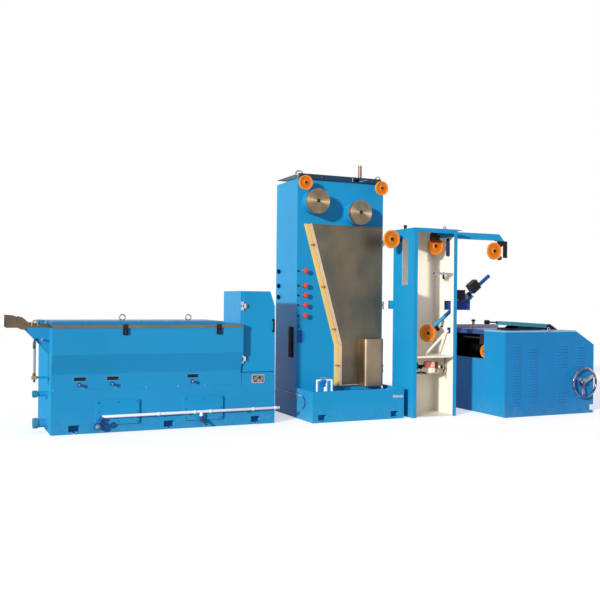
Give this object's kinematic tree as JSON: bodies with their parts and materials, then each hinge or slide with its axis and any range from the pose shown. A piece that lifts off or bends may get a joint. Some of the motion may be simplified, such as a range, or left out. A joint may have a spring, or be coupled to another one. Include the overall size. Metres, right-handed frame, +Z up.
{
  "type": "wire drawing machine line",
  "caption": "Wire drawing line: a tub drawing machine, a tall annealing tower with a slanted furnace door, a dancer frame with a weighted lever, and a low take-up cabinet.",
  "frame": {"origin": "on the floor under the middle of the whole line", "axes": "+X along the line in the direction of the wire, +Y away from the operator, +Z up"},
  "size_m": [7.99, 2.103, 3.505],
  "materials": {
    "blue_paint": "glossy light blue paint",
    "navy_paint": "satin dark blue paint",
    "stainless": "brushed stainless sheet",
    "drum_steel": "turned bright steel",
    "orange_paint": "satin orange paint",
    "black_paint": "satin black paint",
    "teal_paint": "satin teal paint",
    "cream_paint": "satin cream paint",
    "chrome": "polished",
    "steel": "machined steel",
    "brass": "satin brass",
    "white_pipe": "satin light grey paint",
    "yellow_seal": "matte rubber",
    "red_grip": "matte plastic",
    "brown_steel": "dull grey-brown"
  },
  "bodies": {
    "frame": {"air_regulator": "brass", "arm_hanger": "black_paint", "bay_coaming": "black_paint", "cap_post": "brown_steel", "control_knobs": "black_paint", "coolant_pipe": "white_pipe", "coolant_valves": "brass", "dancer_back": "cream_paint", "dancer_floor": "cream_paint", "dancer_left_wall": "blue_paint", "dancer_right_wall": "blue_paint", "dancer_shelf": "cream_paint", "door_clamps": "red_grip", "door_hinges": "chrome", "door_seal": "yellow_seal", "drawing_bed": "blue_paint", "drawing_tub": "blue_paint", "drum_collars": "blue_paint", "end_housing": "blue_paint", "end_pipes": "navy_paint", "gearbox_casing": "blue_paint", "handwheel_boss": "blue_paint", "inlet_chute": "stainless", "inlet_hopper": "blue_paint", "inspection_covers": "blue_paint", "lid_brackets": "black_paint", "pivot_cheeks": "navy_paint", "sheave_brackets": "black_paint", "takeup_back": "blue_paint", "takeup_deck": "blue_paint", "takeup_floor": "blue_paint", "takeup_front": "blue_paint", "takeup_left_wall": "blue_paint", "tower_base": "blue_paint", "tower_cap": "black_paint", "tower_casing": "blue_paint", "traverse_rail": "steel", "tub_latches": "chrome", "tub_lids": "teal_paint", "tub_rim": "stainless", "upper_arm": "blue_paint", "water_line": "white_pipe"},
    "end_door": {"housing_door": "blue_paint", "door_handle": "chrome"},
    "furnace_door": {"annealer_door": "stainless"},
    "drum_left": {"contact_drum_left": "drum_steel"},
    "drum_right": {"contact_drum_right": "drum_steel"},
    "corner_sheave_left": {"tower_sheave_left": "orange_paint"},
    "corner_sheave_right": {"tower_sheave_right": "orange_paint"},
    "entry_sheave": {"outer_sheave": "orange_paint"},
    "upper_sheave": {"top_sheave": "orange_paint"},
    "boom_sheave": {"arm_sheave": "orange_paint"},
    "dancer_arm": {"dancer_lever": "navy_paint", "counterweight": "black_paint"},
    "dancer_sheave": {"lever_sheave": "orange_paint"},
    "bay_lid": {"takeup_lid": "teal_paint"},
    "wheel": {"handwheel": "chrome"},
    "guide_sheave": {"traverse_sheave": "orange_paint"}
  },
  "joints": [
    {"name": "end_door_hinge", "type": "hinge", "parent": "frame", "child": "end_door", "pos_m": [-1.175, -0.2595, 1.18], "axis": [0, 0, -1], "range_deg": [0, 90]},
    {"name": "furnace_door_hinge", "type": "hinge", "parent": "frame", "child": "furnace_door", "pos_m": [1.024, 0.027, 1.5], "axis": [0, 0, 1], "range_deg": [0, 55]},
    {"name": "drum_left_spin", "type": "hinge", "parent": "frame", "child": "drum_left", "pos_m": [-0.059, -0.0785, 2.928], "axis": [0, 1, 0], "continuous": true},
    {"name": "drum_right_spin", "type": "hinge", "parent": "frame", "child": "drum_right", "pos_m": [0.59, -0.0785, 2.806], "axis": [0, 1, 0], "continuous": true},
    {"name": "corner_left_spin", "type": "hinge", "parent": "frame", "child": "corner_sheave_left", "pos_m": [-0.239, -0.0785, 3.165], "axis": [0, 1, 0], "continuous": true},
    {"name": "corner_right_spin", "type": "hinge", "parent": "frame", "child": "corner_sheave_right", "pos_m": [0.927, -0.0785, 3.165], "axis": [0, 1, 0], "continuous": true},
    {"name": "entry_spin", "type": "hinge", "parent": "frame", "child": "entry_sheave", "pos_m": [0.973, -0.2835, 2.442], "axis": [0, 1, 0], "continuous": true},
    {"name": "upper_spin", "type": "hinge", "parent": "frame", "child": "upper_sheave", "pos_m": [1.687, -0.2835, 2.374], "axis": [0, 1, 0], "continuous": true},
    {"name": "boom_spin", "type": "hinge", "parent": "frame", "child": "boom_sheave", "pos_m": [2.706, -0.2835, 2.338], "axis": [0, 1, 0], "continuous": true},
    {"name": "dancer_pivot", "type": "hinge", "parent": "frame", "child": "dancer_arm", "pos_m": [2.099, -0.2555, 1.555], "axis": [0, 1, 0], "range_deg": [-15, 37]},
    {"name": "dancer_spin", "type": "hinge", "parent": "dancer_arm", "child": "dancer_sheave", "pos_m": [1.57268, -0.2835, 1.14527], "axis": [0, 1, 0], "continuous": true},
    {"name": "bay_lid_hinge", "type": "hinge", "parent": "frame", "child": "bay_lid", "pos_m": [3.498, -0.4295, 1.252], "axis": [0, 1, 0], "range_deg": [0, 95]},
    {"name": "handwheel_spin", "type": "hinge", "parent": "frame", "child": "wheel", "pos_m": [3.743, -1.0355, 0.451], "axis": [0, 1, 0], "continuous": true},
    {"name": "guide_spin", "type": "hinge", "parent": "frame", "child": "guide_sheave", "pos_m": [2.472, -0.4005, 0.88], "axis": [1, 0, 0], "continuous": true}
  ]
}
